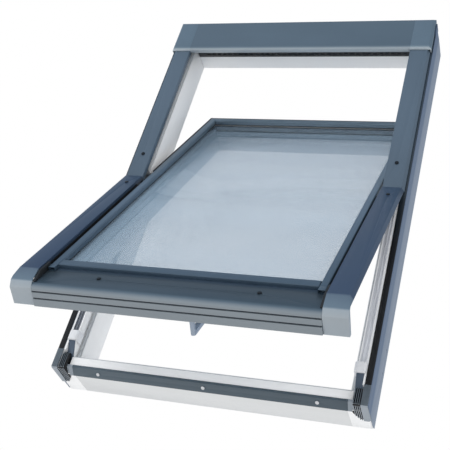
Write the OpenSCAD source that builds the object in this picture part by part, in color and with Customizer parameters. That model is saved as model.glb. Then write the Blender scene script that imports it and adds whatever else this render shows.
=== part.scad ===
// Centre-pivot roof window with its frame: a white frame and sash, blue-grey metal covers
// on the weather side and a small handle at the foot of the sash. The sash is drawn open.
//
// Inside the modules x runs to the right as seen from the weather side, y runs up the slope
// from the foot of the frame and z runs out to the weather from the room side of the frame.
// place() then stands the window upright: x stays, the slope becomes +Z, the weather side
// looks along -Y and the origin is in the middle of the underside of the sill rail.

/* [Frame] */
// Overall width of the frame over its side claddings
frame_w = 780; // [540:10:1180]
// Overall height of the frame from the foot of the sill to the top of the head
frame_h = 1180; // [780:10:1600]
// Depth of the jambs and the head from the room side to their outer edge
frame_d = 118; // [108:1:142]
// Width of a frame rail at the room side, with its cladding
rail_w = 50; // [44:1:60]
// Width of a frame rail above its ledge, with its cladding
rail_top_w = 38; // [34:1:41]
// How far the ledge lies below the outer edge of the frame
ledge_drop = 34; // [30:1:40]
// How far the sill rail stays below the outer edge of the jambs
sill_drop = 14; // [12:1:16]
// Set-back of the sloping front of the sill rail
sill_slope = 12; // [6:1:16]
// Thickness of the metal cladding on the sides of the frame
clad_t = 2.5; // [2:0.1:3]

/* [Sash] */
// Gap between the frame and the sash all round
sash_gap = 12; // [10:1:16]
// Extra gap above the sash, behind the hood
head_gap = 14; // [6:1:20]
// Height of the sash's room side above the frame's room side
sash_floor = 24; // [16:1:30]
// Width of a sash member at the room side
sash_rail_w = 31; // [28:1:44]
// Width of a sash member beside the glass
sash_wall_w = 17; // [15:1:20]
// How far the sash stays below the outer edge of the frame
sash_drop = 6; // [5:1:10]
// Angle that the sash is drawn open
rest_open = 29.5; // [0:0.5:60]

/* [Glazing] */
// Thickness of one pane
pane_t = 4; // [3:0.5:6]
// Gap between two panes
pane_gap = 12; // [8:1:14]
// Play between the glass edge and the sash
glass_play = 2; // [1:0.5:3]
// Width of the metal glazing bead
bead_w = 18; // [14:1:22]
// Height of the metal glazing bead above the sash
bead_h = 12; // [8:1:13]

/* [Covers] */
// Thickness of the cover sheet
sheet_t = 1.5; // [1:0.1:2]
// Height of the frame's covers above the outer edge of the frame
cover_rise = 16; // [15.5:0.5:22]
// How much lower the sash's covers lie than the frame's covers
cover_step = 2; // [1:0.5:3]
// Gap between the inner edge of a cover and the side of the sash
cover_gap = 2; // [1:0.5:4]
// Length of the hood along the slope
hood_l = 118; // [90:1:150]
// Height of the hood above the frame's covers
hood_rise = 8; // [5:0.5:16]
// How far the ribbed nose stands in front of the sill
nose_out = 24; // [20:1:34]
// Thickness of the nose
nose_t = 8; // [6:1:10]
// How far the nose hangs below its top
nose_h = 54; // [44:1:60]

/* [Hinge] */
// Height of the pivot above the middle of the frame
pivot_up = 2; // [-20:1:40]
// Height of the pivot above the outer edge of the frame
pivot_rise = 8; // [7.5:0.5:9]
// Radius of the pivot pin
pin_r = 4; // [3:0.5:4]
// Half the length of a hinge housing along the jamb
hinge_half = 42; // [34:1:60]

/* [Handle] */
// Length of the handle lever from its spindle
lever_l = 92; // [70:1:120]
// Radius of the handle spindle
spindle_r = 5; // [4:0.5:6]
// Radius of the lock bolt
bolt_r = 5; // [4:0.5:6]
// Travel of the lock bolt
bolt_throw = 14; // [13.5:0.5:16]

/* [Hidden] */
$fn = 48;

eps = 0.01;          // overlap of cutting bodies only
seat_gap = 0.3;      // gap between pieces of different bodies that nearly meet
run_gap = 0.05;      // radial clearance of a pin in its bore
origin_z = 40;       // height of the origin above the room side of the frame

// Frame lines
side_x = frame_w / 2;
jamb_x = side_x - clad_t;
reveal_x = side_x - rail_w;
step_x = side_x - rail_top_w;
ledge_z = frame_d - ledge_drop;
sill_z = frame_d - sill_drop;
head_y = frame_h - rail_w;
head_step_y = frame_h - rail_top_w;

// Sash lines
sash_x = reveal_x - sash_gap;
sash_y0 = rail_w + sash_gap;
sash_y1 = head_y - sash_gap - head_gap;
sash_top = frame_d - sash_drop;
sash_in_x = sash_x - sash_rail_w;
wall_x = sash_x - sash_wall_w;
glass_x = wall_x - glass_play;
glass_y0 = sash_y0 + sash_wall_w + glass_play;
glass_y1 = sash_y1 - sash_wall_w - glass_play;
gasket_t = 2;
tape_t = 2;
unit_t = 3 * pane_t + 2 * pane_gap;
glass_top = sash_top - gasket_t - 2;
glass_z = glass_top - unit_t;
rebate_z = glass_z - tape_t;
bead_off = 7;
bead_top = sash_top + bead_h;

// Pivot and covers
pivot_y = frame_h / 2 + pivot_up;
pivot_z = frame_d + pivot_rise;
cover_z = frame_d + cover_rise;
sash_cover_z = cover_z - cover_step;
cover_in_x = sash_x + cover_gap;
cover_out_x = side_x - 6;
cover_bevel = 6;
upper_cover_y0 = pivot_y - 11.5;
lower_cover_y1 = pivot_y - (cover_z - pivot_z) - 6.5;
hood_y0 = frame_h + 6 - hood_l;
hood_y1 = frame_h + 6;
hood_z = cover_z + hood_rise;
hood_x = side_x - 3;
hood_cap_x = cover_in_x - seat_gap;
nose_r = 14;

// Turns a profile drawn in (y, z) into a bar along x
module along_x(x0, x1) translate([x0, 0, 0]) rotate([90, 0, 90]) linear_extrude(x1 - x0) children();

// Turns a profile drawn in (x, z) into a bar along y
module along_y(y0, y1) translate([0, y1, 0]) rotate([90, 0, 0]) linear_extrude(y1 - y0) children();

module block(x, y, z) translate([x[0], y[0], z[0]]) cube([x[1] - x[0], y[1] - y[0], z[1] - z[0]]);

// Mirrors a right-hand piece to the left side when s is -1
module on_side(s) if (s < 0) mirror([1, 0, 0]) children(); else children();

module both_sides() { children(); mirror([1, 0, 0]) children(); }

// Stands the window upright with its origin under the sill rail
module place() rotate([90, 0, 0]) translate([0, 0, -origin_z]) children();

// Opens the sash about its pivot line
module opened() place() translate([0, pivot_y, pivot_z]) rotate([-rest_open, 0, 0])
    translate([0, -pivot_y, -pivot_z]) children();

// A round-headed screw whose head seats at z = 0 and whose shank goes down
module screw(head_r, head_h, shank_r, shank_l) {
    cylinder(r = head_r, h = head_h);
    translate([0, 0, -shank_l]) cylinder(r = shank_r, h = shank_l + eps);
}

// ---------------------------------------------------------------- frame rails

bracket_hole_r = 2.5;
bracket_hole_l = 30;
bracket_pitch = 60;
bracket_end = 160;
bracket_z = 22;
channel_wall = 3;
channel_in_x = step_x + channel_wall;
channel_out_x = side_x - 20;
channel_d = 5;
flange_x = side_x - 15;
flange_t = 1.5;
corner_cut = 3;
box_x = side_x - 16;
block_len = 50;
chute_y = [20, block_len + 26];
chute_z = ledge_z + 4;
seal_run = 3;
hinge_top = frame_d - 4;

// Places something at the four holes on the side of one jamb for its two fixing brackets
module at_bracket_holes()
    for (y = [bracket_end, frame_h - bracket_end], e = [-1, 1])
        translate([0, y + e * bracket_pitch / 2, bracket_z]) children();

// Sloping cut at the foot of a jamb that lets the drain channel run out over the sill
module chute_cut(x1, y1) intersection() {
    along_x(step_x - 1, x1) polygon([[-1, chute_z], [chute_y[0], chute_z], [chute_y[1], frame_d],
        [chute_y[1], frame_d + 1], [-1, frame_d + 1]]);
    block([0, side_x], [-1, y1], [0, frame_d + 1]);
}

// White side rail: a ledge for the seal, a groove for the drain channel, bracket holes
module jamb() difference() {
    along_y(0, frame_h) polygon([[reveal_x, 0], [jamb_x, 0], [jamb_x, frame_d], [step_x, frame_d],
        [step_x, ledge_z], [reveal_x, ledge_z]]);
    translate([jamb_x, 0, -1]) rotate([0, 0, 45]) cube([corner_cut * sqrt(2), corner_cut * sqrt(2),
        2 * frame_d + 2], center = true);
    block([channel_in_x, channel_out_x], [chute_y[1], head_y], [frame_d - channel_d, frame_d + 1]);
    chute_cut(channel_out_x, chute_y[1]);
    chute_cut(box_x, block_len);
    at_bracket_holes() translate([jamb_x - bracket_hole_l, 0, 0]) rotate([0, 90, 0])
        cylinder(r = bracket_hole_r, h = bracket_hole_l + clad_t + 1);
}

striker_x = 26;
striker_y = 1.5;
striker_h = 30;
bolt_z = sash_floor + 26;
bolt_hole_r = bolt_r + 1.5;
bolt_hole_l = 12;

// White rail at the foot with a sloping front and a pocket for the lock bolt
module sill_rail() color("white") place() difference() {
    union() {
        block([-reveal_x, reveal_x], [0, rail_w], [0, ledge_z]);
        along_x(-step_x, step_x) polygon([[0, ledge_z], [rail_top_w, ledge_z],
            [rail_top_w, sill_z], [sill_slope, sill_z]]);
    }
    block([-striker_x, striker_x], [rail_w - striker_y, rail_w + 1],
        [bolt_z - striker_h / 2, bolt_z + striker_h / 2]);
    translate([0, rail_w - striker_y - bolt_hole_l, bolt_z]) rotate([-90, 0, 0])
        cylinder(r = bolt_hole_r, h = bolt_hole_l + 2);
}

// White rail at the top of the frame
module head_rail() color("white") place() {
    block([-reveal_x, reveal_x], [head_y, frame_h], [0, ledge_z]);
    block([-step_x, step_x], [head_step_y, frame_h], [ledge_z, frame_d]);
}

module left_jamb() color("white") place() on_side(-1) jamb();
module right_jamb() color("white") place() jamb();

// Rubber strip with a round bulb, drawn with its foot at z = 0 and its middle at 0
seal_w = 8;
seal_h = 6;
module seal_profile() {
    translate([-seal_w / 2, 0]) square([seal_w, 2]);
    translate([0, seal_h - 2.5]) circle(r = 2.5);
    translate([-1.5, 1]) square([3, seal_h - 3.5]);
}

seal_x = (reveal_x + step_x) / 2;
seal_y0 = (rail_w + rail_top_w) / 2;
seal_y1 = (head_y + head_step_y) / 2;
seal_stop_lo = pivot_y - hinge_half - seal_run;
seal_stop_hi = pivot_y + hinge_half + seal_run;

// Pale seal on the ledge: two legs and a cross strip, as one U
module frame_seal_u(y_cross, y_end) color("#c9cdd0") place() translate([0, 0, ledge_z]) {
    both_sides() along_y(min(y_cross, y_end), max(y_cross, y_end)) translate([seal_x, 0])
        seal_profile();
    along_x(-seal_x - seal_w / 2, seal_x + seal_w / 2) translate([y_cross, 0]) seal_profile();
}
module lower_frame_seal() frame_seal_u(seal_y0, seal_stop_lo);
module upper_frame_seal() frame_seal_u(seal_y1, seal_stop_hi);

vent_t = 8;
vent_h = 28;
vent_slots = 36;

// Dark ventilation strip on the reveal of the head, with a row of slots
module head_vent_strip() color("#2b2f33") place() difference() {
    block([-reveal_x + 4, reveal_x - 4], [head_y - vent_t, head_y], [ledge_z - vent_h, ledge_z]);
    for (i = [0 : vent_slots - 1])
        translate([(i - (vent_slots - 1) / 2) * (2 * reveal_x - 60) / vent_slots,
            head_y - vent_t, ledge_z - vent_h / 2])
            cube([(2 * reveal_x - 60) / vent_slots - 6, 6, vent_h - 16], center = true);
}

// ------------------------------------------------------- metal on the frame

sill_clad_end = reveal_x + 2;
sill_screw_pitch = frame_w * 0.35;
slope_angle = atan2(sill_z - ledge_z, sill_slope);

// Dark metal strip on the sloping front of the sill
module sill_strip_profile() polygon([[0, ledge_z], [sill_slope, sill_z], [sill_slope + 5, sill_z],
    [sill_slope + 5, sill_z + sheet_t], [sill_slope - 1.2, sill_z + sheet_t],
    [-sheet_t * 1.1, ledge_z]]);

module sill_cladding() color("#4e5c68") place() difference() {
    along_x(-sill_clad_end, sill_clad_end) sill_strip_profile();
    at_sill_screws() cylinder(r = 2, h = 20, center = true);
}

module at_sill_screws() for (i = [-1 : 1])
    translate([i * sill_screw_pitch, sill_slope / 2, (ledge_z + sill_z) / 2])
        rotate([slope_angle, 0, 0]) translate([0, 0, sheet_t * 1.15]) children();

module sill_screws() color("#c8ccd0") place() at_sill_screws() screw(4.5, 1.6, 1.9, sheet_t);

// Metal side of the frame: a flat room-side band, a shallow hollow, a flange over the jamb
// and an upright lug beside the end of the hood
clad_band = frame_d * 0.58;
clad_hollow = frame_d * 0.8;
lug_h = 11;
module side_cladding() {
    folded_cladding();
    along_x(jamb_x, side_x) polygon([[frame_h - 44, frame_d], [frame_h - 40, frame_d + lug_h - 3],
        [frame_h - 34, frame_d + lug_h], [frame_h - 5, frame_d + lug_h], [frame_h, frame_d + lug_h - 4],
        [frame_h, frame_d]]);
}
module folded_cladding() difference() {
    along_y(corner_cut - 2, frame_h) polygon([[jamb_x, 2], [side_x, 2], [side_x, clad_band],
        [side_x - 1.3, clad_hollow], [side_x, clad_hollow + 4], [side_x, frame_d + flange_t],
        [flange_x, frame_d + flange_t], [flange_x, frame_d], [jamb_x, frame_d]]);
    block([flange_x - 1, side_x + 1], [0, block_len], [frame_d, 2 * frame_d]);
    at_bracket_holes() translate([jamb_x - 1, 0, 0]) rotate([0, 90, 0])
        cylinder(r = bracket_hole_r, h = clad_t + 2);
}
module left_side_cladding() color("#4a6488") place() on_side(-1) side_cladding();
module right_side_cladding() color("#4a6488") place() side_cladding();

// Folded channel in the jamb that leads water down; a ridge parts it in two
module drain_channel() along_y(chute_y[1] + seat_gap, head_y - seat_gap) {
    floor_z = frame_d - channel_d;
    ridge_x = (channel_in_x + channel_out_x) / 2;
    translate([channel_in_x, floor_z]) square([channel_out_x - channel_in_x, 1.2]);
    translate([channel_in_x, floor_z]) square([1.2, channel_d + 0.6]);
    translate([channel_out_x - 1.2, floor_z]) square([1.2, channel_d + 0.6]);
    translate([ridge_x - 0.8, floor_z]) square([1.6, channel_d - 1]);
}
module left_drain_channel() color("#8d959d") place() on_side(-1) drain_channel();
module right_drain_channel() color("#8d959d") place() drain_channel();

// Section of a side cover: flat face, bevelled outer side and a lip on each edge
module cover_profile(z, lip) {
    b = cover_bevel;
    t = sheet_t;
    polygon([[cover_in_x, z - lip], [cover_in_x, z], [cover_out_x - b, z],
        [cover_out_x, z - b * 1.6], [cover_out_x, z - lip], [cover_out_x - t, z - lip],
        [cover_out_x - t, z - b * 1.6 - t * 0.3], [cover_out_x - b - t * 0.55, z - t],
        [cover_in_x + t, z - t], [cover_in_x + t, z - lip]]);
}

upper_lip = cover_rise - 2.5;
lower_lip = upper_lip - cover_step;

module upper_cover() difference() {
    along_y(upper_cover_y0, hood_y1 - 14) cover_profile(cover_z, upper_lip);
    translate([cover_screw_x, upper_screw_y, cover_z - 2]) cylinder(r = 2.5, h = 4);
}
module left_upper_cover() color("#5a6b7c") place() on_side(-1) upper_cover();
module right_upper_cover() color("#5a6b7c") place() upper_cover();

cover_screw_x = (cover_in_x + cover_out_x - cover_bevel) / 2;
upper_screw_y = pivot_y + 72;
clip_l = 30;
upper_clip_n = 3;

// Moulded bridge over the drain channel that carries an upper cover
module upper_clip(y) along_y(y - clip_l / 2, y + clip_l / 2) difference() {
    polygon([[step_x, frame_d], [step_x, cover_z - sheet_t],
        [cover_out_x - cover_bevel - sheet_t, cover_z - sheet_t],
        [cover_out_x - sheet_t - 0.5, cover_z - cover_bevel * 1.6 - 1.5],
        [cover_out_x - sheet_t - 0.5, frame_d]]);
    translate([channel_in_x, frame_d - 1]) square([channel_out_x - channel_in_x, 6]);
    translate([flange_x - seat_gap, frame_d - 1]) square([side_x, 1 + flange_t + seat_gap]);
}
module upper_cover_clips() color("#2b2f33") place() both_sides()
    difference() {
        for (i = [0 : upper_clip_n - 1])
            upper_clip(upper_screw_y + i * (hood_y0 - 30 - upper_screw_y) / (upper_clip_n - 1));
        translate([cover_screw_x, upper_screw_y, frame_d + 6]) cylinder(r = 1.8, h = 20);
    }

module upper_cover_screws() color("#46545f") place() both_sides()
    translate([cover_screw_x, upper_screw_y, cover_z]) screw(5, 1.8, 1.8, 8);

hood_lip = 16;
hood_r = 8;
hood_t = 2;
hood_skirt_z = cover_z - 64;

// Section of the hood in (y, z): rounded front edge, flat face, folded back flange
module hood_profile() difference() {
    hood_outline(0, hood_skirt_z);
    hood_outline(hood_t, hood_skirt_z - 1);
    translate([hood_y0 - 1, 0]) square([hood_l - hood_t + 1, hood_z - hood_lip]);
}
module hood_outline(inset, z0) {
    translate([hood_y0 + hood_r, hood_z - hood_r]) circle(r = hood_r - inset);
    polygon([[hood_y0 + inset, z0], [hood_y1 - inset, z0], [hood_y1 - inset, hood_z - hood_r],
        [hood_y1 - hood_r, hood_z - inset], [hood_y0 + hood_r, hood_z - inset],
        [hood_y0 + hood_r, hood_z - hood_r], [hood_y0 + inset, hood_z - hood_r]]);
}

module hood() color("#5a6b7c") place()
    along_x(-hood_cap_x, hood_cap_x) hood_profile();

cap_bevel = 7;
cap_side_z = cover_z - 10;

// Body of a hood cap with a bevelled outer edge, inset by i on its outer faces
module hood_cap_shape(i) intersection() {
    along_x(hood_cap_x - i, hood_x) hood_outline(i, hood_skirt_z - i);
    along_y(0, 2 * frame_h) polygon([[0, 0], [0, hood_z - i], [hood_x - cap_bevel - i * 0.5, hood_z - i],
        [hood_x - i, hood_z - cap_bevel - i * 0.4], [hood_x - i, 0]]);
}

// End cap: the same section as the hood, with a side wall that clears the cover beneath
module hood_cap() difference() {
    hood_cap_shape(0);
    hood_cap_shape(hood_t);
    block([0, hood_x - hood_t], [0, 2 * frame_h], [0, cover_z]);
    block([0, side_x], [0, 2 * frame_h], [0, cap_side_z]);
}
module left_hood_cap() color("#65788a") place() on_side(-1) hood_cap();
module right_hood_cap() color("#65788a") place() hood_cap();

// Blocks on the head rail that carry the hood
module hood_blocks() color("#2b2f33") place() for (x = [-0.28, 0.28] * frame_w)
    block([x - 20, x + 20], [frame_h - 30, frame_h - 6], [frame_d, hood_z - hood_t]);

// ------------------------------------------------- foot corners of the frame

block_out = 6;
block_t = 2;
block_foot = frame_d * 0.44;
block_top = frame_d + block_t;
blade_t = 1.6;
blade_n = 4;
blade_x0 = step_x + 5;
blade_end = block_len - 5;

// Moulded plastic corner: a box over the foot of a jamb, and thin blades over the chute
module corner_block() difference() {
    union() {
        block([box_x, side_x], [0, block_len], [frame_d, block_top]);
        along_x(box_x, side_x) polygon([[0, block_foot], [-block_out, block_foot],
            [-2.5, block_top - 4], [1.5, block_top], [1.5, frame_d], [0, frame_d]]);
        block([step_x, box_x], [-2, 0], [block_foot, chute_z - 2]);
        block([blade_x0, box_x], [-0.4, 1], [frame_d - 3, frame_d + 1]);
        for (i = [0 : blade_n - 1])
            along_x(blade_x0 + i * (box_x - blade_x0) / blade_n,
                blade_x0 + i * (box_x - blade_x0) / blade_n + blade_t) blade_profile();
        sill_connector();
    }
    translate([side_x, -block_out, 0]) rotate([0, 0, 45])
        cube([6, 6, 4 * frame_d], center = true);
    along_y(-block_out - 1, 1) polygon([[step_x - 1, block_foot - 1], [step_x - 1, chute_z - 8],
        [box_x - 6.5, block_foot - 1]]);
}

// One blade in (y, z): it stays clear of the chute and folds over the front
module blade_profile() polygon([[0, block_foot], [-block_out + 1, block_foot], [-1, block_top - 4],
    [3, block_top], [blade_end - 9, block_top], [blade_end, frame_d - 6],
    [blade_end, frame_d - 13], [chute_y[0] + 1, chute_z + 3], [0, chute_z + 3]]);

// Flat tab of the corner block that meets the end of the strip on the sill
module sill_connector() {
    along_x(sill_clad_end + seat_gap, step_x) sill_strip_profile();
    along_x(step_x - 1, blade_x0 + 1) intersection() {
        sill_strip_profile();
        translate([-sill_slope, ledge_z + 5]) square([3 * sill_slope, frame_d]);
    }
}
module left_corner_block() color("#3b4650") place() on_side(-1) corner_block();
module right_corner_block() color("#3b4650") place() corner_block();

cap_y = [chute_y[1], chute_y[1] + 26];
guide_out_x = channel_out_x + 3;

// Sheet plate that carries on from the drain channel and slopes down over the sill
module guide_plate() along_x(step_x, channel_out_x) polygon([[4, chute_z], [chute_y[0], chute_z],
    [chute_y[1], frame_d], [chute_y[1], frame_d + sheet_t], [chute_y[0] - 1, chute_z + sheet_t],
    [4, chute_z + sheet_t]]);
module left_guide_plate() color("#8d959d") place() on_side(-1) guide_plate();
module right_guide_plate() color("#8d959d") place() guide_plate();

// White hooked cap that guides the sash as it closes
module guide_cap() {
    along_y(cap_y[0], cap_y[1]) polygon([[step_x - 6, frame_d + 4], [step_x, frame_d + 8],
        [guide_out_x - 4, frame_d + 8], [guide_out_x, frame_d + 5], [guide_out_x, frame_d + 0.6],
        [step_x, frame_d + 0.6], [step_x, ledge_z + 12], [step_x - 6, ledge_z + 16]]);
}
module left_guide_cap() color("white") place() on_side(-1) guide_cap();
module right_guide_cap() color("white") place() guide_cap();

// ------------------------------------------------------------------- hinges

boss_r = cover_z - sheet_t - seat_gap - pivot_z;

// Fixed half: a block on the ledge with a round eye for the pivot pin
module hinge_housing() difference() {
    union() {
        along_x(reveal_x, step_x) polygon([[pivot_y - hinge_half, ledge_z],
            [pivot_y + hinge_half, ledge_z], [pivot_y + hinge_half, hinge_top - 12],
            [pivot_y + 5, pivot_z], [pivot_y - 5, pivot_z], [pivot_y - hinge_half, hinge_top - 12]]);
        translate([reveal_x, pivot_y, pivot_z]) rotate([0, 90, 0])
            cylinder(r = boss_r, h = step_x - reveal_x);
    }
    translate([reveal_x - 1, pivot_y, pivot_z]) rotate([0, 90, 0])
        cylinder(r = pin_r + run_gap, h = step_x - reveal_x + 2);
}
module left_hinge_housing() color("#6f777e") place() on_side(-1) hinge_housing();
module right_hinge_housing() color("#6f777e") place() hinge_housing();

arm_gap = 2;
arm_t = 5;
arm_x1 = reveal_x - arm_gap;
arm_x0 = arm_x1 - arm_t;
arm_y = [pivot_y + 12, pivot_y + 68];
arm_z = [sash_floor + 46, sash_top - 4];

// Sash half: a plate on the side of the stile with the pivot pin
module hinge_arm() {
    block([sash_x, arm_x0], arm_y, arm_z);
    along_x(arm_x0, arm_x1) polygon([[arm_y[0], arm_z[0]], [arm_y[1], arm_z[0]],
        [arm_y[1], arm_z[1]], [pivot_y + 5, pivot_z], [pivot_y - 5, pivot_z]]);
    translate([arm_x0, pivot_y, pivot_z]) rotate([0, 90, 0]) cylinder(r = boss_r, h = arm_t);
    translate([arm_x0, pivot_y, pivot_z]) rotate([0, 90, 0])
        cylinder(r = pin_r, h = step_x - arm_x0 - 1);
}
module left_hinge_arm() color("#a9afb4") opened() on_side(-1) hinge_arm();
module right_hinge_arm() color("#a9afb4") opened() hinge_arm();

// Metal plate on the sill that takes the lock bolt
module striker_plate() color("#c8ccd0") place() difference() {
    block([-striker_x, striker_x], [rail_w - striker_y, rail_w],
        [bolt_z - striker_h / 2, bolt_z + striker_h / 2]);
    translate([0, rail_w - striker_y - 1, bolt_z]) rotate([-90, 0, 0])
        cylinder(r = bolt_hole_r, h = striker_y + 2);
}

// --------------------------------------------------------------- sash timber

module stile() along_y(sash_y0, sash_y1) polygon([[sash_in_x, sash_floor], [sash_x, sash_floor],
    [sash_x, sash_top], [wall_x, sash_top], [wall_x, rebate_z], [sash_in_x, rebate_z]]);
module left_stile() color("white") opened() on_side(-1) stile();
module right_stile() color("white") opened() stile();

// Rail between the stiles; the wall beside the glass is at its outer side
module sash_rail(y_outer, into) {
    y_in = y_outer + into * sash_rail_w;
    y_wall = y_outer + into * sash_wall_w;
    block([-sash_in_x, sash_in_x], [min(y_outer, y_in), max(y_outer, y_in)],
        [sash_floor, rebate_z]);
    block([-wall_x, wall_x], [min(y_outer, y_wall), max(y_outer, y_wall)], [rebate_z, sash_top]);
}
spindle_y = sash_y0 + 20;
spindle_deep = 12;
bolt_l = 27;

module sash_foot_rail() color("white") opened() difference() {
    sash_rail(sash_y0, 1);
    translate([0, spindle_y, sash_floor - 1]) cylinder(r = spindle_r + run_gap, h = spindle_deep + 2);
    translate([0, sash_y0 - 1, bolt_z]) rotate([-90, 0, 0])
        cylinder(r = bolt_r + run_gap, h = bolt_l + 2.5);
}
module sash_head_rail() color("white") opened() sash_rail(sash_y1, -1);

// ------------------------------------------------------------------- glazing

module pane(z) color([0.72, 0.82, 0.88, 0.45]) opened()
    block([-glass_x, glass_x], [glass_y0, glass_y1], [z, z + pane_t]);
module inner_pane() pane(glass_z);
module middle_pane() pane(glass_z + pane_t + pane_gap);
module outer_pane() pane(glass_top - pane_t);

// Flat ring that follows the glass edge
module glass_ring(inset, w, z, h) difference() {
    block([-glass_x + inset, glass_x - inset], [glass_y0 + inset, glass_y1 - inset], [z, z + h]);
    block([-glass_x + inset + w, glass_x - inset - w],
        [glass_y0 + inset + w, glass_y1 - inset - w], [z - 1, z + h + 1]);
}
spacer_inset = 3;
spacer_w = 8;
module inner_spacer() color("#3f4c58") opened()
    glass_ring(spacer_inset, spacer_w, glass_z + pane_t, pane_gap);
module outer_spacer() color("#3f4c58") opened()
    glass_ring(spacer_inset, spacer_w, glass_z + 2 * pane_t + pane_gap, pane_gap);
module glazing_tape() color("#16181a") opened() glass_ring(1, 9, rebate_z, tape_t);
module glazing_gasket() color("#16181a") opened() glass_ring(0.5, 5, glass_top, gasket_t);

bead_lip_z = glass_top + gasket_t;

// Section of a glazing bead across (u, z); u = 0 is its outer edge, u = bead_w its inner edge
module bead_profile() polygon([[0, sash_top], [0, bead_top - 2], [2, bead_top],
    [bead_w - 3, bead_top], [bead_w, bead_top - 3], [bead_w, bead_lip_z], [10, bead_lip_z],
    [10, sash_top]]);

bead_out_x = sash_x - bead_off;
bead_out_y = sash_y1 - bead_off;

module side_bead() intersection() {
    difference() {
        along_y(sash_y0, bead_out_y) translate([bead_out_x, 0]) mirror([1, 0]) bead_profile();
        block([0, wall_x + eps], [0, sash_y0 + sash_wall_w], [0, sash_top]);
    }
    translate([0, 0, sash_top - 10]) linear_extrude(40) polygon([[0, bead_out_y - bead_out_x],
        [bead_out_x, bead_out_y], [bead_out_x + 1, sash_y0 - 1], [0, sash_y0 - 1]]);
}
module left_bead() color("#5a6f88") opened() on_side(-1) side_bead();
module right_bead() color("#5a6f88") opened() side_bead();

module head_bead() color("#5a6f88") opened() intersection() {
    along_x(-bead_out_x, bead_out_x) translate([bead_out_y, 0]) mirror([1, 0]) bead_profile();
    translate([0, 0, sash_top - 10]) linear_extrude(40) polygon([[-bead_out_x, bead_out_y],
        [bead_out_x, bead_out_y], [bead_out_x - 2 * bead_w, bead_out_y - 2 * bead_w],
        [-bead_out_x + 2 * bead_w, bead_out_y - 2 * bead_w]]);
}

foot_bead_w = bead_w + bead_off;
foot_bead_x = bead_out_x - bead_w;

// Wider bead at the foot, between the side beads
module foot_bead() color("#5a6f88") opened() along_x(-foot_bead_x, foot_bead_x)
    translate([sash_y0, 0]) polygon([[0, sash_top], [0, bead_top - 2], [2, bead_top],
        [foot_bead_w - 3, bead_top], [foot_bead_w, bead_top - 3], [foot_bead_w, bead_lip_z],
        [sash_wall_w, bead_lip_z], [sash_wall_w, sash_top]]);

// Black seals on the outer edge of the sash; they stop short of the hinges
sash_seal_h = 7;
sash_seal_over = cover_gap - seat_gap;
sash_seal_w = bead_off - 0.5;
module sash_seal_leg(y0, y1, over) along_y(y0, y1) polygon([[sash_x - sash_seal_w, sash_top],
    [sash_x, sash_top], [sash_x + over, sash_top + 2],
    [sash_x + over, sash_top + 4], [sash_x, sash_top + sash_seal_h],
    [sash_x - sash_seal_w, sash_top + sash_seal_h]]);
module sash_side_seals() color("#16181a") opened() both_sides()
    sash_seal_leg(sash_y0, seal_stop_lo, cover_gap);
module sash_head_seal() color("#16181a") opened() {
    both_sides() sash_seal_leg(seal_stop_hi + 34, sash_y1, sash_seal_over);
    block([-sash_x, sash_x], [sash_y1 - sash_seal_w, sash_y1], [sash_top, sash_top + sash_seal_h]);
}

// --------------------------------------------------- metal covers on the sash

fold_y = 20;
fold_foot_z = sash_top + 2 - nose_h;

// Folded end of a side cover as a closed shape, inset by i on every side but its open foot
module cover_end_shape(i) intersection() {
    along_x(cover_in_x + i, cover_out_x - i) polygon([[fold_y + 2 + i, sash_cover_z - i],
        [fold_y, sash_cover_z - i], [-14 + i / 2, sash_cover_z - 14 - i],
        [-nose_out + i, sash_cover_z - 28 - i / 2], [-nose_out + 4 + i, fold_foot_z - i],
        [-block_out - 4 + i, fold_foot_z - i], [-block_out - 4 + i, sash_cover_z - 16.5 - i * 0.7],
        [-block_out + 1 + i, sash_cover_z - lower_lip - i],
        [fold_y + 2 + i, sash_cover_z - lower_lip - i]]);
    along_y(-2 * nose_out, fold_y + 4) polygon([[cover_in_x, 0], [cover_in_x, sash_cover_z - i],
        [cover_out_x - cover_bevel - i * 0.55, sash_cover_z - i],
        [cover_out_x - i, sash_cover_z - cover_bevel * 1.6 - i * 0.3], [cover_out_x - i, 0]]);
}

// Folded sheet: straight side cover that turns down over the end of the nose
module lower_cover() difference() {
    union() {
        along_y(fold_y + 2, lower_cover_y1) cover_profile(sash_cover_z, lower_lip);
        difference() {
            cover_end_shape(0);
            cover_end_shape(sheet_t);
        }
    }
    translate([cover_screw_x, lower_screw_y, sash_cover_z - 2]) cylinder(r = 2.5, h = 4);
}
lower_screw_y = pivot_y - 61;

module left_lower_cover() color("#485b73") opened() on_side(-1) lower_cover();
module right_lower_cover() color("#485b73") opened() lower_cover();

lower_clip_n = 3;
lower_clip_y = [for (i = [0 : lower_clip_n - 1])
    lower_screw_y - i * (lower_screw_y - 170) / (lower_clip_n - 1)];

// Angle clip from the side of the stile to the underside of a lower cover
module lower_clip(y) along_y(y - clip_l / 2, y + clip_l / 2) {
    under = sash_cover_z - sheet_t;
    polygon([[sash_x, sash_top - 20], [sash_x + 8, sash_top - 20], [sash_x + 8, under - 4.5],
        [channel_out_x - 4, under - 4.5], [channel_out_x - 4, under], [sash_x + 4, under],
        [sash_x + 4, sash_top - 1], [sash_x, sash_top - 1]]);
}
module lower_cover_clips() color("#2b2f33") opened() both_sides() difference() {
    for (y = lower_clip_y) lower_clip(y);
    translate([cover_screw_x, lower_screw_y, sash_cover_z - 12]) cylinder(r = 1.8, h = 20);
}
module lower_cover_screws() color("#38465a") opened() both_sides()
    translate([cover_screw_x, lower_screw_y, sash_cover_z]) screw(5, 1.8, 1.8, 5);

cover_deck = sash_top + 2;
deck_t = 4;
deck_y0 = -nose_out + nose_r;
groove_w = 4;
groove_d = 3;
rib_pitch = 17;
bottom_screw_x = frame_w * 0.238;
bottom_screw_y = sash_y0 - 34;

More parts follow.
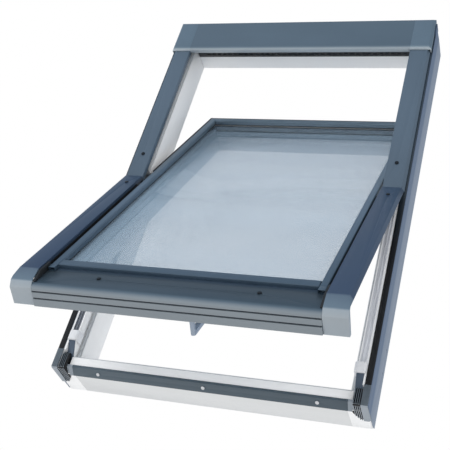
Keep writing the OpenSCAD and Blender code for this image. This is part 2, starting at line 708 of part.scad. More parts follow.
// Extruded profile across the foot of the sash: deck, rounded nose, two grooves
module bottom_cover() color("#7e8994") opened() difference() {
    along_x(-cover_in_x + 0.5, cover_in_x - 0.5) difference() {
        union() {
            polygon([[sash_y0, sash_top - 20], [sash_y0, cover_deck], [-nose_out + nose_r, cover_deck],
                [-nose_out + nose_r, cover_deck - deck_t], [sash_y0 - 4, cover_deck - deck_t],
                [sash_y0 - 4, sash_top - 20]]);
            difference() {
                translate([-nose_out + nose_r, cover_deck - nose_r]) circle(r = nose_r);
                translate([-nose_out + nose_r, cover_deck - nose_r]) circle(r = nose_r - deck_t);
                translate([-nose_out + nose_r, 0]) square([100, 200]);
                translate([-nose_out - 1, 0]) square([100, cover_deck - nose_r]);
            }
            translate([-nose_out, cover_deck - nose_h]) square([nose_t, nose_h - nose_r]);
        }
        for (i = [1, 2]) translate([-nose_out - 1, cover_deck - i * rib_pitch - groove_w / 2])
            square([groove_d + 1, groove_w]);
    }
    both_sides() translate([bottom_screw_x, bottom_screw_y, 0]) cylinder(r = 2.5, h = 200);
}
// Dark blocks that close the ends of the deck beside the side covers
module deck_end_blocks() color("#2b2f33") opened() both_sides()
    along_x(cover_in_x - 6, cover_in_x) polygon([[deck_y0, cover_deck], [deck_y0, cover_deck + 3.5],
        [fold_y, sash_cover_z - 3], [sash_y0, sash_cover_z - 3], [sash_y0, cover_deck]]);

module bottom_cover_screws() color("#38465a") opened() both_sides()
    translate([bottom_screw_x, bottom_screw_y, cover_deck]) screw(5, 1.8, 2.4, deck_t);

// --------------------------------------------------------------------- handle

base_t = 13;
base_x = 26;
base_half_y = 11;
neck_r = 6;
lever_gap = 0.4;
lever_t = 11;
lever_w = 16;
neck_l = min(38, frame_h * 0.075 - 50);

// White base screwed to the foot rail, tapering to a round collar
module handle_base() color("white") opened() difference() {
    union() {
        along_y(spindle_y - base_half_y, spindle_y + base_half_y) polygon([[-base_x, sash_floor],
            [base_x, sash_floor], [base_x, sash_floor - 4], [neck_r + 3, sash_floor - base_t],
            [-neck_r - 3, sash_floor - base_t], [-base_x, sash_floor - 4]]);
        translate([0, spindle_y, sash_floor - base_t - 3]) cylinder(r = neck_r + 1.5, h = 4);
    }
    translate([0, spindle_y, sash_floor - base_t - 4]) cylinder(r = spindle_r + run_gap, h = base_t + 6);
}

// Lever on its round spindle; it lies along the slope when the sash is unlocked. Its neck is
// shorter on a low window, where the foot of the sash passes the sill more steeply.
module handle_lever() color("#b8c4d2") opened() translate([0, spindle_y, 0]) {
    neck_top = sash_floor - base_t - 3 - lever_gap;
    translate([0, 0, neck_top - neck_l]) cylinder(r = neck_r, h = neck_l);
    translate([0, 0, neck_top - 1]) cylinder(r = spindle_r, h = base_t + 3 + lever_gap + spindle_deep);
    translate([0, 0, neck_top - neck_l - lever_t + 3]) linear_extrude(lever_t) {
        circle(r = neck_r);
        polygon([[-neck_r, 0], [neck_r, 0], [lever_w / 2, lever_l], [-lever_w / 2, lever_l]]);
        translate([0, lever_l]) circle(r = lever_w / 2);
    }
}

// Round bolt in the foot rail, drawn back while the sash is open
module lock_bolt() color("#c8ccd0") opened() translate([0, sash_y0 - 1, bolt_z])
    rotate([-90, 0, 0]) cylinder(r = bolt_r, h = bolt_l);

// ------------------------------------------------------------------ assembly

sill_rail();
head_rail();
left_jamb();
right_jamb();
lower_frame_seal();
upper_frame_seal();
head_vent_strip();
sill_cladding();
sill_screws();
left_side_cladding();
right_side_cladding();
left_drain_channel();
right_drain_channel();
left_upper_cover();
right_upper_cover();
upper_cover_clips();
upper_cover_screws();
hood();
left_hood_cap();
right_hood_cap();
hood_blocks();
left_corner_block();
right_corner_block();
left_guide_plate();
right_guide_plate();
left_guide_cap();
right_guide_cap();
left_hinge_housing();
right_hinge_housing();
striker_plate();
sash_foot_rail();
sash_head_rail();
left_stile();
right_stile();
outer_pane();
middle_pane();
inner_pane();
outer_spacer();
inner_spacer();
glazing_tape();
glazing_gasket();
left_bead();
right_bead();
head_bead();
foot_bead();
sash_side_seals();
sash_head_seal();
left_lower_cover();
right_lower_cover();
lower_cover_clips();
lower_cover_screws();
bottom_cover();
deck_end_blocks();
bottom_cover_screws();
left_hinge_arm();
right_hinge_arm();
handle_base();
handle_lever();
lock_bolt();
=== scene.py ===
"""Looks of a centre-pivot roof window: white frame and sash, blue-grey metal covers, a tilted sash."""
import math

import bmesh
import bpy
from mathutils import Matrix, Vector


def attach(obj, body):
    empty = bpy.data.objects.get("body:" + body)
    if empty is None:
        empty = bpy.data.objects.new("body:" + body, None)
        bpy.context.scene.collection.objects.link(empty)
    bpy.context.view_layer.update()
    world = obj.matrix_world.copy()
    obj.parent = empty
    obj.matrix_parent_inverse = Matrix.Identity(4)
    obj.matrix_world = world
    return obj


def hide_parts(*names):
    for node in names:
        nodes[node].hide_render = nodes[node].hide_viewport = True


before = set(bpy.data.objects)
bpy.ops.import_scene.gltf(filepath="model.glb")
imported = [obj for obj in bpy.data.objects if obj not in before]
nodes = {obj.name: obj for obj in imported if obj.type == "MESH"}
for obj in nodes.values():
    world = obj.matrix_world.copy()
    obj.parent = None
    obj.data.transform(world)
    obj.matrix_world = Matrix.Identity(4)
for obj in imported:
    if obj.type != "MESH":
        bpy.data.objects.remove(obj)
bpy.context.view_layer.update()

# Camera: below the foot of the window and to its right, rolled by the pitch of the roof, with a
# long lens, so that the weather side, the right jamb and the room side of the lifted foot all show.
aim = Vector((-0.0761, -0.0373, 0.4792))
azimuth, elevation, roll = math.radians(24.217), math.radians(32.331), math.radians(17.117)
distance = 2.4751
lens = bpy.data.cameras.new("camera")
lens.lens = 75.31
lens.sensor_width = 36
camera = bpy.data.objects.new("camera", lens)
bpy.context.scene.collection.objects.link(camera)
bpy.context.scene.camera = camera
ahead = Vector((-math.sin(azimuth) * math.cos(elevation), math.cos(azimuth) * math.cos(elevation),
                math.sin(elevation)))
camera.matrix_world = (Matrix.Translation(aim - ahead * distance)
                       @ ahead.to_track_quat("-Z", "Y").to_matrix().to_4x4()
                       @ Matrix.Rotation(roll, 4, "Z"))

# Studio: a pale floor well below the window, which hangs on its brackets, a white cyclorama that
# is dimmer overhead than below, and a broad lamp in front that leaves no highlight on the metal.
bpy.context.scene.view_settings.view_transform = "Standard"
bpy.ops.mesh.primitive_plane_add(size=14, location=(0, 0, -1.3))
floor = bpy.context.active_object
floor.name = "floor"
pale_floor = bpy.data.materials.new("pale_floor")
pale_floor.use_nodes = True
pale_floor.node_tree.nodes["Principled BSDF"].inputs["Base Color"].default_value = (0.80, 0.80, 0.80, 1)
pale_floor.node_tree.nodes["Principled BSDF"].inputs["Roughness"].default_value = 0.8
floor.data.materials.append(pale_floor)

studio = bpy.data.worlds.new("studio")
bpy.context.scene.world = studio
studio.use_nodes = True
sky = studio.node_tree
sky_way = sky.nodes.new("ShaderNodeTexCoord")
sky_split = sky.nodes.new("ShaderNodeSeparateXYZ")
sky.links.new(sky_way.outputs["Generated"], sky_split.inputs[0])
sky_height = sky.nodes.new("ShaderNodeMapRange")
sky_height.inputs["From Min"].default_value = -1.0
sky.links.new(sky_split.outputs["Z"], sky_height.inputs["Value"])
sky_tone = sky.nodes.new("ShaderNodeValToRGB")
sky_tone.color_ramp.elements[0].position = 0.30
sky_tone.color_ramp.elements[0].color = (1.0, 1.0, 1.0, 1)
sky_tone.color_ramp.elements[1].position = 0.95
sky_tone.color_ramp.elements[1].color = (0.30, 0.36, 0.44, 1)
sky_middle = sky_tone.color_ramp.elements.new(0.62)
sky_middle.color = (0.60, 0.66, 0.74, 1)
sky.links.new(sky_height.outputs[0], sky_tone.inputs[0])
sky_ray = sky.nodes.new("ShaderNodeLightPath")
sky_mix = sky.nodes.new("ShaderNodeMixRGB")
sky_mix.inputs[1].default_value = (1, 1, 1, 1)
sky.links.new(sky_ray.outputs["Is Glossy Ray"], sky_mix.inputs[0])
sky.links.new(sky_tone.outputs[0], sky_mix.inputs[2])
sky.links.new(sky_mix.outputs[0], sky.nodes["Background"].inputs["Color"])

lamp = bpy.data.lights.new("front_lamp", "SUN")
lamp.energy = 1.1
lamp.angle = math.radians(40)
front_lamp = bpy.data.objects.new("front_lamp", lamp)
bpy.context.scene.collection.objects.link(front_lamp)
front_lamp.rotation_euler = Vector((0.45, 1.0, -0.75)).to_track_quat("-Z", "Y").to_euler()
front_lamp.visible_glossy = False


# Frame rails: four planed softwood rails, glued at the corners and sprayed with a smooth white
# lacquer, through which only a trace of the grain stands up. All their edges are eased.
def merged(node):
    """A copy of a construction mesh with its doubles merged and its flat faces joined."""
    shape = bmesh.new()
    shape.from_mesh(nodes[node].data)
    bmesh.ops.remove_doubles(shape, verts=shape.verts, dist=0.00002)
    bmesh.ops.dissolve_limit(shape, angle_limit=math.radians(1.0), verts=shape.verts, edges=shape.edges)
    return shape


def ease(shape, radius, over=28):
    """Rounds every edge that turns by more than so many degrees."""
    sharp = [e for e in shape.edges if e.is_manifold and e.calc_face_angle() > math.radians(over)]
    bmesh.ops.bevel(shape, geom=sharp, offset=radius, offset_type="OFFSET", affect="EDGES", segments=2,
                    profile=0.5, material=-1, clamp_overlap=True)
    return shape


def fit(shape, name, body, slot, finish, *stands_for):
    """Makes the finished piece, lets it ride on its body and hides the nodes it stands for."""
    mesh = bpy.data.meshes.new(name)
    shape.to_mesh(mesh)
    shape.free()
    mesh.shade_smooth()
    mesh.set_sharp_from_angle(angle=math.radians(32))
    mesh.materials.append(finish)
    piece = bpy.data.objects.new(name, mesh)
    bpy.context.scene.collection.objects.link(piece)
    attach(piece, body)
    if stands_for:
        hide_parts(*stands_for)
    return piece


def shade(red, green, blue, share=1.0):
    """A colour in the scene's linear units from its screen value, or a share of it."""
    return tuple(share * ((c / 255 + 0.055) / 1.055) ** 2.4 for c in (red, green, blue)) + (1.0,)


def coat(red, green, blue):
    """A baked coat's colour: the screen value that it has in open light, less what light adds."""
    return shade(red, green, blue, 0.72)


def finish_of(name, stops, along=(0, 0, 1), rough=0.4, metal=0.0, mottle=0.06, patch=14, tooth=0.03,
              pore=900, stretch=(1, 1, 1)):
    """A finish whose tone changes along a direction, with mottling, uneven gloss and a fine tooth."""
    finish = bpy.data.materials.new(name)
    finish.use_nodes = True
    tree = finish.node_tree
    skin = tree.nodes["Principled BSDF"]
    skin.inputs["Metallic"].default_value = metal
    place = tree.nodes.new("ShaderNodeTexCoord")
    scaled = tree.nodes.new("ShaderNodeMapping")
    scaled.inputs["Scale"].default_value = stretch
    tree.links.new(place.outputs["Object"], scaled.inputs["Vector"])
    distance_along = tree.nodes.new("ShaderNodeVectorMath")
    distance_along.operation = "DOT_PRODUCT"
    distance_along.inputs[1].default_value = along
    tree.links.new(place.outputs["Object"], distance_along.inputs[0])
    share = tree.nodes.new("ShaderNodeMapRange")
    first, last = stops[0][0], stops[-1][0]
    share.inputs["From Min"].default_value = first
    share.inputs["From Max"].default_value = last
    tree.links.new(distance_along.outputs["Value"], share.inputs["Value"])
    tones = tree.nodes.new("ShaderNodeValToRGB")
    ramp = tones.color_ramp
    ramp.elements[0].color = stops[0][1]
    ramp.elements[1].color = stops[-1][1]
    for where, colour in stops[1:-1]:
        ramp.elements.new((where - first) / (last - first)).color = colour
    tree.links.new(share.outputs[0], tones.inputs[0])
    cloud = tree.nodes.new("ShaderNodeTexNoise")
    cloud.inputs["Scale"].default_value = patch
    cloud.inputs["Detail"].default_value = 5
    tree.links.new(scaled.outputs[0], cloud.inputs["Vector"])
    depth = tree.nodes.new("ShaderNodeMapRange")
    depth.inputs["From Min"].default_value = 0.3
    depth.inputs["From Max"].default_value = 0.7
    depth.inputs["To Min"].default_value = 1.0 - mottle
    depth.inputs["To Max"].default_value = 1.0 + mottle
    tree.links.new(cloud.outputs["Fac"], depth.inputs["Value"])
    toned = tree.nodes.new("ShaderNodeVectorMath")
    toned.operation = "SCALE"
    tree.links.new(tones.outputs["Color"], toned.inputs[0])
    tree.links.new(depth.outputs[0], toned.inputs["Scale"])
    tree.links.new(toned.outputs[0], skin.inputs["Base Color"])
    gloss = tree.nodes.new("ShaderNodeMapRange")
    gloss.inputs["To Min"].default_value = max(rough - 0.07, 0.02)
    gloss.inputs["To Max"].default_value = rough + 0.07
    tree.links.new(cloud.outputs["Fac"], gloss.inputs["Value"])
    tree.links.new(gloss.outputs[0], skin.inputs["Roughness"])
    grit = tree.nodes.new("ShaderNodeTexNoise")
    grit.inputs["Scale"].default_value = pore
    grit.inputs["Detail"].default_value = 2
    tree.links.new(scaled.outputs[0], grit.inputs["Vector"])
    raised = tree.nodes.new("ShaderNodeBump")
    raised.inputs["Strength"].default_value = tooth
    raised.inputs["Distance"].default_value = 0.0004
    tree.links.new(grit.outputs["Fac"], raised.inputs["Height"])
    tree.links.new(raised.outputs[0], skin.inputs["Normal"])
    return finish


white = shade(248, 249, 250)
rail_white = finish_of("frame_lacquer", [(-0.1, white), (1.2, white)], rough=0.32, mottle=0.012,
                       tooth=0.12, pore=420, stretch=(6, 6, 0.35))
# The foot face of the sill is painted a greyer white: painted shade on the face that looks down.
foot_painted_shade = shade(218, 220, 221)
cross_white_and_painted_shade = finish_of("frame_lacquer_across_painted_shade", [(-0.01, foot_painted_shade), (0.002, foot_painted_shade),
                        (0.02, white), (1.2, white)], rough=0.32, mottle=0.012,
                        tooth=0.12, pore=420, stretch=(0.35, 6, 6))
for node in ("left_jamb", "right_jamb"):
    fit(ease(merged(node), 0.0009), node + "_lacquered", "frame", "frame_lacquer", rail_white, node)
for node in ("sill_rail", "head_rail"):
    fit(ease(merged(node), 0.0009), node + "_lacquered", "frame", "frame_lacquer", cross_white_and_painted_shade, node)

# Ledge seals: soft pale rubber with a round bulb, pushed into a groove along the ledge. The lower
# and the upper seal each run round three sides and stop at the hinges.
bulb_grey = shade(196, 200, 203)
pale_rubber = finish_of("ledge_seal_rubber", [(-0.1, bulb_grey), (1.2, bulb_grey)], rough=0.6,
                        mottle=0.05, tooth=0.2, pore=1500)
for node in ("lower_frame_seal", "upper_frame_seal"):
    fit(ease(merged(node), 0.0004, 40), node + "_bulb", "frame", "frame_seal_rubber", pale_rubber, node)

# Ventilation strip: a black ribbed plastic grille, moulded in one length and clipped to the reveal
# under the hood, where it lets air through while the sash is shut.
soot = shade(40, 43, 46)
grille_black = finish_of("vent_plastic", [(-0.1, soot), (1.2, soot)], rough=0.45, mottle=0.15,
                         tooth=0.25, pore=1300)
fit(ease(merged("head_vent_strip"), 0.0004), "vent_grille", "frame", "dark_plastic", grille_black,
    "head_vent_strip")

# Side claddings: folded aluminium with a baked blue-grey coat, fixed to the jambs. The bands across
# the cladding are painted shading of its facets: the flat band towards the room is painted palest and
# the band above the hollow bluer. The flange over the jamb is painted near black below, a painted shade
# in the gap beside the jamb's ridge, and slate above, a painted reflection.
flange_y, lug_x = -0.0785, 0.3885
side_coat_and_painted_shading = finish_of("side_coat_and_painted_shading", [(-0.0785, coat(60, 84, 116)), (-0.0765, coat(84, 108, 142)),
                      (-0.0340, coat(88, 114, 148)), (-0.0270, coat(134, 150, 172)),
                      (0.0400, coat(146, 160, 180))],
                      along=(0, 1, 0), rough=0.42, metal=0.1, mottle=0.05, patch=9, stretch=(2, 2, 0.4))
flange_painted_shading = finish_of("flange_painted_shading", [(0.0, coat(12, 15, 19)), (0.42, coat(14, 17, 22)),
                        (0.62, coat(46, 60, 72)), (1.18, coat(54, 72, 90))], rough=0.4, metal=0.1,
                        mottle=0.08, patch=9, stretch=(2, 2, 0.3))
for node in ("left_side_cladding", "right_side_cladding"):
    cladding = fit(ease(merged(node), 0.0007), node + "_coated", "frame", "cladding_metal",
                   side_coat_and_painted_shading, node)
    cladding.data.materials.append(flange_painted_shading)
    # The flange faces take the painted shade and reflection.
    for face in cladding.data.polygons:
        if face.center.y < flange_y and face.normal.y < -0.5 and abs(face.center.x) < lug_x:
            face.material_index = 1

# Drain channels: rolled bare aluminium, laid in a groove in the top of each jamb and a little
# streaked along its length where water has run. The right one is painted far paler than the left,
# a painted light that stands in for the light its deep groove doesn't get.
channel_grey = coat(150, 156, 166)
drain_mill_and_painted_light = finish_of("drain_mill_and_painted_light_finish", [(-0.36, channel_grey), (0.34, channel_grey),
                       (0.36, shade(236, 238, 242))], along=(1, 0, 0), rough=0.38, metal=0.3,
                       mottle=0.16, patch=22, stretch=(14, 4, 0.5))
for node in ("left_drain_channel", "right_drain_channel"):
    fit(ease(merged(node), 0.0002), node + "_rolled", "frame", "drain_metal", drain_mill_and_painted_light, node)

# Foot corners: moulded grey-blue plastic fixed to the foot of each jamb, with thin blades over a
# chute of sheet metal. A white hooked cap on the jamb guides the sash as it shuts.
blades_from, blades_to = 0.3525, 0.3738
plate_from, plate_to = -0.0022, 0.0005
tongue_to = 0.3520
corner_grey = finish_of("corner_plastic", [(-0.09, coat(100, 112, 122)), (-0.03, coat(92, 106, 118)),
                        (0.0, coat(84, 98, 112))], along=(0, 1, 0), rough=0.38, mottle=0.08, tooth=0.12,
                        pore=1100)
blade_slot_painted_shade = finish_of("corner_slot_painted_shade", [(0.0, coat(14, 16, 20)), (0.1, coat(18, 20, 24))],
                        rough=0.6, mottle=0.1, tooth=0.1, pore=1100)
corner_face_painted_highlight = finish_of("corner_face_painted_highlight", [(-0.09, coat(176, 186, 196)),
                        (-0.012, coat(150, 162, 174))], along=(0, 1, 0), rough=0.3, mottle=0.06,
                        tooth=0.08, pore=1100)
chute_blue = finish_of("chute_metal", [(0.0, coat(150, 160, 170)), (0.02, coat(108, 122, 138)),
                       (0.08, coat(96, 112, 132))], rough=0.35, metal=0.4, mottle=0.08, patch=30)
guide_white = finish_of("guide_plastic", [(0.0, shade(228, 230, 234)), (1.0, shade(228, 230, 234))],
                        rough=0.3, mottle=0.03, tooth=0.05, pore=1500)
for side in ("left", "right"):
    corner = fit(ease(merged(side + "_corner_block"), 0.0004), side + "_corner_moulding", "frame",
                 "corner_plastic", corner_grey, side + "_corner_block")
    corner.data.materials.append(blade_slot_painted_shade)
    corner.data.materials.append(corner_face_painted_highlight)
    # Painted shade and highlight: the slots between the blades are painted near black as shade, and the
    # faces that look down and the inner tongue are painted pale as a highlight.
    for face in corner.data.polygons:
        middle, facing = face.center, face.normal
        among_blades = blades_from < abs(middle.x) < blades_to
        if among_blades and (abs(facing.x) > 0.8 or plate_from < middle.z < plate_to):
            face.material_index = 1
        elif facing.z < -0.45 or abs(middle.x) < tongue_to:
            face.material_index = 2
    fit(ease(merged(side + "_guide_plate"), 0.0003), side + "_chute", "frame", "drain_metal", chute_blue,
        side + "_guide_plate")
    fit(ease(merged(side + "_guide_cap"), 0.0012), side + "_closing_guide", "frame", "white_plastic",
        guide_white, side + "_guide_cap")

# Sill strip: a dark coated aluminium strip on the slope of the sill, with its ends under the corner
# mouldings, held by three bright screws.
sill_coat = finish_of("sill_coat", [(-0.35, coat(90, 106, 118)), (0.35, coat(80, 96, 108))],
                      along=(1, 0, 0), rough=0.45, mottle=0.05, patch=18)
fit(ease(merged("sill_cladding"), 0.0004), "sill_strip", "frame", "sill_metal", sill_coat,
    "sill_cladding")
zinc = shade(206, 208, 212)
bright_zinc = finish_of("bright_zinc", [(-0.1, zinc), (1.2, zinc)], rough=0.28, metal=0.9, mottle=0.08,
                        patch=120)
fit(ease(merged("sill_screws"), 0.0004), "sill_screw_heads", "frame", "bright_metal", bright_zinc,
    "sill_screws")

# Upper covers and hood: roll-formed aluminium with a satin blue-grey coat, on black clips. The
# hood turns down in a round front edge, and its end caps are a shade lighter. The round front edge
# of the hood and of each cap is painted pale, a painted reflection of the floor below.
cover_coat = finish_of("upper_cover_coat", [(0.55, coat(93, 112, 130)), (0.9, coat(97, 117, 136)),
                       (1.2, coat(98, 118, 136))], rough=0.36, metal=0.25, mottle=0.05, patch=7,
                       stretch=(2, 2, 0.6))
cap_coat_and_painted_reflection = finish_of("hood_cap_coat_and_painted_reflection", [(1.0660, coat(216, 226, 232)), (1.0700, coat(190, 204, 214)),
                     (1.0745, coat(118, 140, 156)), (1.0800, coat(102, 125, 144)),
                     (1.19, coat(102, 125, 144))], rough=0.36, metal=0.2, mottle=0.05, patch=12)
for node in ("left_upper_cover", "right_upper_cover"):
    fit(ease(merged(node), 0.0006), node + "_coated", "frame", "upper_cover_metal", cover_coat, node)
hood_coat_and_painted_reflection = finish_of("hood_coat_and_painted_reflection", [(1.0660, coat(208, 218, 226)), (1.0700, coat(182, 196, 206)),
                      (1.0745, coat(110, 130, 146)), (1.0800, coat(92, 113, 131)),
                      (1.19, coat(94, 115, 132))], rough=0.36, metal=0.2, mottle=0.05, patch=7,
                      stretch=(0.6, 2, 2))
fit(ease(merged("hood"), 0.0006), "hood_coated", "frame", "upper_cover_metal", hood_coat_and_painted_reflection, "hood")
for node in ("left_hood_cap", "right_hood_cap"):
    fit(ease(merged(node), 0.0012), node + "_coated", "frame", "upper_cover_metal", cap_coat_and_painted_reflection, node)
clip_shade = coat(34, 38, 42)
clip_black = finish_of("clip_plastic", [(-0.1, clip_shade), (1.2, clip_shade)], rough=0.5, mottle=0.12,
                       tooth=0.2, pore=1200)
for node in ("upper_cover_clips", "hood_blocks"):
    fit(ease(merged(node), 0.0005), node + "_moulded", "frame", "dark_plastic", clip_black, node)
screw_coat = finish_of("cover_screw_coat", [(-0.1, coat(34, 40, 47)), (1.2, coat(34, 40, 47))],
                       rough=0.3, metal=0.5, mottle=0.1, patch=150)
fit(ease(merged("upper_cover_screws"), 0.0006), "upper_screw_heads", "frame", "cover_screw", screw_coat,
    "upper_cover_screws")

# Hinges: zinc-plated steel housings fixed to the ledges, with the sash plates and their pins beside
# them. The striker for the lock bolt is let into the sill.
hinge_zinc = finish_of("hinge_zinc", [(0.5, coat(120, 126, 132)), (0.7, coat(138, 144, 150))],
                       rough=0.34, metal=0.85, mottle=0.12, patch=40)
for side in ("left", "right"):
    fit(ease(merged(side + "_hinge_housing"), 0.0008), side + "_hinge_case", "frame", "hinge_metal",
        hinge_zinc, side + "_hinge_housing")
    fit(ease(merged(side + "_hinge_arm"), 0.0006), side + "_hinge_plate", "sash", "hinge_metal",
        hinge_zinc, side + "_hinge_arm")
fit(ease(merged("striker_plate"), 0.0004), "lock_striker", "frame", "bright_metal", bright_zinc,
    "striker_plate")

# Sash timber: the same lacquered softwood as the frame, with the rebate for the glass. The sash is
# lifted about its hinges, so its sizes are given on the shut sash and turned from there.
lean = math.radians(29.5)
up_sash = Vector((0, math.sin(lean), math.cos(lean)))
out_sash = Vector((0, -math.cos(lean), math.sin(lean)))
pivot_height, pivot_depth = 0.592, 0.126
pivot = Vector((0, -0.086, pivot_height))


def up_at(y):
    """Where a height on the shut sash, in metres from its foot, lies along the lifted sash."""
    return pivot.dot(up_sash) + y - pivot_height


def out_at(z):
    """Where a depth on the shut sash, in metres from the room side, lies across the lifted sash."""
    return pivot.dot(out_sash) + z - pivot_depth


sash_white = shade(240, 242, 245)
sash_lacquer = finish_of("sash_lacquer", [(-0.1, sash_white), (1.2, sash_white)], rough=0.32,
                         mottle=0.012, tooth=0.12, pore=420, stretch=(6, 6, 0.4))
for node in ("left_stile", "right_stile", "sash_foot_rail", "sash_head_rail"):
    fit(ease(merged(node), 0.0009), node + "_lacquered", "sash", "sash_lacquer", sash_lacquer, node)

# Glass unit: three panes held apart by two metal spacer bars and bedded on black tape and a black
# gasket. The coated panes have a faint blue tint. Their soft bands across the slope are painted
# reflections, a clearer strip under the head is painted light that brightens the reveal behind it,
# and a denser cover towards the left edge is painted shading over the stile's inner wall.
pane_height = 1.2
def tinted_pane(name, tint, cover_share):
    """Thin coated glass: see-through, with a clearer strip under the head as painted light, painted
    reflections in soft bands across the slope and painted shading towards the left edge.
    """
    glass = finish_of(name, [(up_at(0.08), tint), (up_at(1.1), tint)], along=up_sash, rough=0.06,
                      mottle=0.05, patch=3, tooth=0.0, stretch=(0.6, 2.6, 2.6))
    tree = glass.node_tree
    place = tree.nodes["Texture Coordinate"]
    slope = tree.nodes.new("ShaderNodeVectorMath")
    slope.operation = "DOT_PRODUCT"
    slope.inputs[1].default_value = up_sash
    tree.links.new(place.outputs["Object"], slope.inputs[0])
    climb = tree.nodes.new("ShaderNodeMapRange")
    climb.inputs["From Min"].default_value = up_at(0.0)
    climb.inputs["From Max"].default_value = up_at(pane_height)
    tree.links.new(slope.outputs["Value"], climb.inputs["Value"])
    bands = tree.nodes.new("ShaderNodeValToRGB")
    ramp = bands.color_ramp
    ramp.elements[0].color = (1.05, 1.05, 1.05, 1)
    ramp.elements[1].color = (0.35, 0.35, 0.35, 1)
    for y, much in ((0.30, 1.0), (0.42, 1.1), (0.47, 1.02), (0.56, 1.16), (0.60, 1.02),
                    (0.68, 1.14), (0.74, 1.0), (0.80, 1.18), (0.90, 1.12), (0.95, 1.22),
                    (1.020, 1.25), (1.028, 0.35)):
        ramp.elements.new(y / pane_height).color = (much, much, much, 1)
    tree.links.new(climb.outputs[0], bands.inputs[0])
    across = tree.nodes.new("ShaderNodeSeparateXYZ")
    tree.links.new(place.outputs["Object"], across.inputs[0])
    left_edge_shading = tree.nodes.new("ShaderNodeMapRange")
    left_edge_shading.inputs["From Min"].default_value = -0.30
    left_edge_shading.inputs["From Max"].default_value = -0.18
    left_edge_shading.inputs["To Min"].default_value = 1.5
    left_edge_shading.inputs["To Max"].default_value = 1.0
    tree.links.new(across.outputs["X"], left_edge_shading.inputs["Value"])
    cover = tree.nodes.new("ShaderNodeMath")
    cover.operation = "MULTIPLY"
    tree.links.new(bands.outputs["Color"], cover.inputs[0])
    tree.links.new(left_edge_shading.outputs[0], cover.inputs[1])
    scaled_cover = tree.nodes.new("ShaderNodeMath")
    scaled_cover.operation = "MULTIPLY"
    scaled_cover.use_clamp = True
    scaled_cover.inputs[1].default_value = cover_share
    tree.links.new(cover.outputs[0], scaled_cover.inputs[0])
    tree.links.new(scaled_cover.outputs[0], tree.nodes["Principled BSDF"].inputs["Alpha"])
    return glass


pane_tint = shade(148, 172, 192)
fit(ease(merged("outer_pane"), 0.0004), "outer_glass", "sash", "pane_glass",
    tinted_pane("outer_glass_tint", pane_tint, 0.27), "outer_pane")
fit(ease(merged("middle_pane"), 0.0004), "middle_glass", "sash", "pane_glass",
    tinted_pane("middle_glass_tint", pane_tint, 0.14), "middle_pane")
fit(ease(merged("inner_pane"), 0.0004), "inner_glass", "sash", "pane_glass",
    tinted_pane("inner_glass_tint", pane_tint, 0.14), "inner_pane")
spacer_grey = finish_of("spacer_metal", [(-0.1, coat(112, 130, 146)), (1.2, coat(112, 130, 146))],
                        rough=0.4, metal=0.3, mottle=0.06, patch=30)
for node in ("outer_spacer", "inner_spacer"):
    fit(ease(merged(node), 0.0003), node + "_bar", "sash", "spacer", spacer_grey, node)
seal_black = finish_of("seal_rubber", [(-0.1, coat(10, 11, 14)), (1.2, coat(10, 11, 14))], rough=0.55,
                       mottle=0.1, tooth=0.2, pore=1500)
for node in ("glazing_tape", "glazing_gasket", "sash_side_seals", "sash_head_seal"):
    fit(ease(merged(node), 0.0003), node + "_rubber", "sash", "seal_rubber", seal_black, node)

# Glazing beads: extruded aluminium with a satin blue coat, clipped over the edge of the glass,
# mitred at the head and butted at the foot.
# The coat is painted darker at the foot and paler towards the head: painted shading along the slope.
bead_coat_and_painted_shading = finish_of("bead_coat_and_painted_shading", [(up_at(0.06), coat(80, 102, 122)),
                      (up_at(0.5), coat(104, 126, 148)), (up_at(1.1), coat(118, 140, 158))],
                      along=up_sash, rough=0.33, metal=0.3, mottle=0.05, patch=10, stretch=(2, 2, 0.5))
for node in ("left_bead", "right_bead", "head_bead", "foot_bead"):
    fit(ease(merged(node), 0.0007), node + "_coated", "sash", "bead_metal", bead_coat_and_painted_shading, node)

# Sash lips and bead ends: black rubber lips close the gaps beside the lower covers, beside the upper
# half of the sash and over its head. Each side bead runs on over the deck to an open end.
def sash_block(x_range, y_range, z_range):
    """A box given by its corners on the shut sash, moved to the lifted sash."""
    shape = bmesh.new()
    bmesh.ops.create_cube(shape, size=1.0)
    middle = Vector([(a + b) / 2 for a, b in (x_range, y_range, z_range)])
    size = Vector([b - a for a, b in (x_range, y_range, z_range)])
    bmesh.ops.scale(shape, vec=size, verts=shape.verts)
    bmesh.ops.translate(shape, vec=middle, verts=shape.verts)
    to_sash = Matrix(((1, 0, 0, 0), (0, up_sash.y, out_sash.y, 0), (0, up_sash.z, out_sash.z, 0),
                      (0, 0, 0, 1)))
    shift = pivot - to_sash.to_3x3() @ Vector((0, pivot_height, pivot_depth))
    bmesh.ops.transform(shape, matrix=Matrix.Translation(shift) @ to_sash, verts=shape.verts)
    return shape


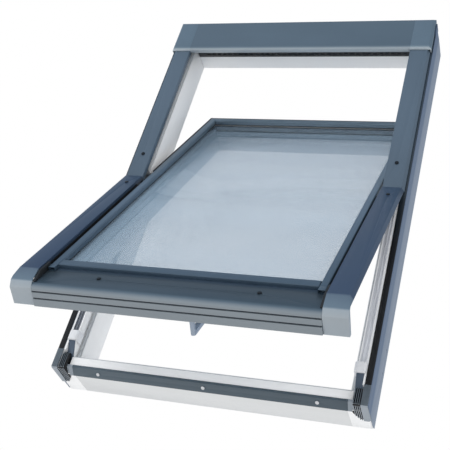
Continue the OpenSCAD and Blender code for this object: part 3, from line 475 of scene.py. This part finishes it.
glass_face, cover_underside = 0.1142, 0.1240
bead_out = max(v.co.x for v in nodes["right_bead"].data.vertices)
head_y = max(v.co.dot(up_sash) for v in nodes["head_bead"].data.vertices) - up_at(0)
bead_top = max(v.co.dot(out_sash) for v in nodes["head_bead"].data.vertices) - out_at(0)
lip_height = (bead_top - 0.009, bead_top - 0.0004)
fit(ease(sash_block((-bead_out - 0.0042, bead_out + 0.0042), (head_y - 0.001, head_y + 0.0042),
                    lip_height), 0.0005), "head_lip", "sash", "seal_rubber", seal_black)
for side, name in ((1, "right"), (-1, "left")):
    lip_x = sorted((side * 0.3278, side * 0.3299))
    fit(ease(sash_block(lip_x, (0.020, 0.540), (glass_face, cover_underside)), 0.0004),
        name + "_side_lip", "sash", "seal_rubber", seal_black)
    upper_x = sorted((side * (bead_out - 0.001), side * (bead_out + 0.0045)))
    fit(ease(sash_block(upper_x, (0.640, head_y + 0.0042), lip_height), 0.0005), name + "_upper_lip",
        "sash", "seal_rubber", seal_black)
    end_x = sorted((side * 0.3050, side * 0.3205))
    bead_end = sash_block(end_x, (0.0440, 0.0622), (glass_face, cover_underside - 0.0001))
    open_end = [f for f in bead_end.faces if f.normal.dot(up_sash) < -0.9]
    bmesh.ops.inset_region(bead_end, faces=open_end, thickness=0.0018, depth=0)
    bmesh.ops.translate(bead_end, vec=up_sash * 0.012,
                        verts=list({v for f in open_end for v in f.verts}))
    fit(ease(bead_end, 0.0004), name + "_bead_end", "sash", "bead_metal", bead_coat_and_painted_shading)

# Lower covers: folded aluminium over the sides of the sash, held on black clips and turned down over
# the ends of the nose. The turned-down faces and the bend above them are painted palest, a painted
# reflection of the floor below.
lower_coat_and_painted_reflection = finish_of("lower_cover_coat_and_painted_reflection", [(up_at(-0.024), coat(180, 190, 198)),
                       (up_at(-0.0135), coat(170, 184, 196)), (up_at(-0.0125), coat(116, 138, 156)),
                       (up_at(0.018), coat(104, 124, 144)), (up_at(0.023), coat(64, 85, 114)),
                       (up_at(0.55), coat(65, 87, 114))],
                       along=up_sash, rough=0.34, metal=0.3, mottle=0.05, patch=7)
for node in ("left_lower_cover", "right_lower_cover"):
    fit(ease(merged(node), 0.0007, 12), node + "_folded", "sash", "lower_cover_metal", lower_coat_and_painted_reflection, node)
for node in ("lower_cover_clips", "deck_end_blocks"):
    fit(ease(merged(node), 0.0005), node + "_moulded", "sash", "dark_plastic", clip_black, node)

# Bottom cover: one extruded profile screwed to the foot of the sash, with a flat deck, a rounded
# nose and two grooves between ribs. The nose and ribs are painted pale, a painted reflection of the
# floor below, and the grooves dark, a painted shadow.
nose_front, deck_depth = -0.024, 0.114
groove_drops, groove_half = (0.017, 0.034), 0.0019
nose_coat_and_painted_reflection = finish_of("nose_coat_and_painted_reflection", [(up_at(nose_front), coat(152, 162, 170)),
                      (up_at(-0.0225), coat(148, 160, 170)), (up_at(-0.0165), coat(98, 118, 134)),
                      (up_at(-0.0100), coat(68, 88, 104)), (up_at(0.045), coat(74, 88, 100)),
                      (up_at(0.062), coat(66, 86, 108))], along=up_sash, rough=0.33, metal=0.3,
                      mottle=0.05, patch=9, stretch=(0.5, 2, 2))
nose = fit(ease(merged("bottom_cover"), 0.0004), "nose_profile", "sash", "bottom_cover_metal", nose_coat_and_painted_reflection,
           "bottom_cover")
groove_shadow = finish_of("groove_painted_shadow", [(-0.4, coat(38, 48, 58)), (0.4, coat(44, 56, 68))],
                          along=(1, 0, 0), rough=0.5, mottle=0.1)
nose.data.materials.append(groove_shadow)
# The faces in the two grooves take the painted shadow.
for face in nose.data.polygons:
    into = face.center.dot(up_sash) - up_at(nose_front)
    drop = out_at(deck_depth) - face.center.dot(out_sash)
    if into < 0.0045 and any(abs(drop - middle) < groove_half for middle in groove_drops):
        face.material_index = 1
for node in ("lower_cover_screws", "bottom_cover_screws"):
    fit(ease(merged(node), 0.0006), node + "_heads", "sash", "cover_screw", screw_coat, node)

# Handle: a white moulded base on the foot rail and a satin lever on a round neck. A quarter turn of
# the lever drives the bright steel bolt into the striker.
base_white = finish_of("handle_base_plastic", [(0, shade(226, 230, 236)), (1, shade(226, 230, 236))],
                       rough=0.25, mottle=0.02, tooth=0.05, pore=1400)
fit(ease(merged("handle_base"), 0.0015), "handle_rose", "sash", "white_plastic", base_white,
    "handle_base")
lever_silver = finish_of("lever_satin", [(0, coat(176, 190, 208)), (1, coat(176, 190, 208))], rough=0.3,
                         metal=0.7, mottle=0.06, patch=60)
fit(ease(merged("handle_lever"), 0.0022), "handle_grip", "handle", "handle_metal", lever_silver,
    "handle_lever")
fit(ease(merged("lock_bolt"), 0.0006), "lock_bolt_bar", "bolt", "bright_metal", bright_zinc,
    "lock_bolt")
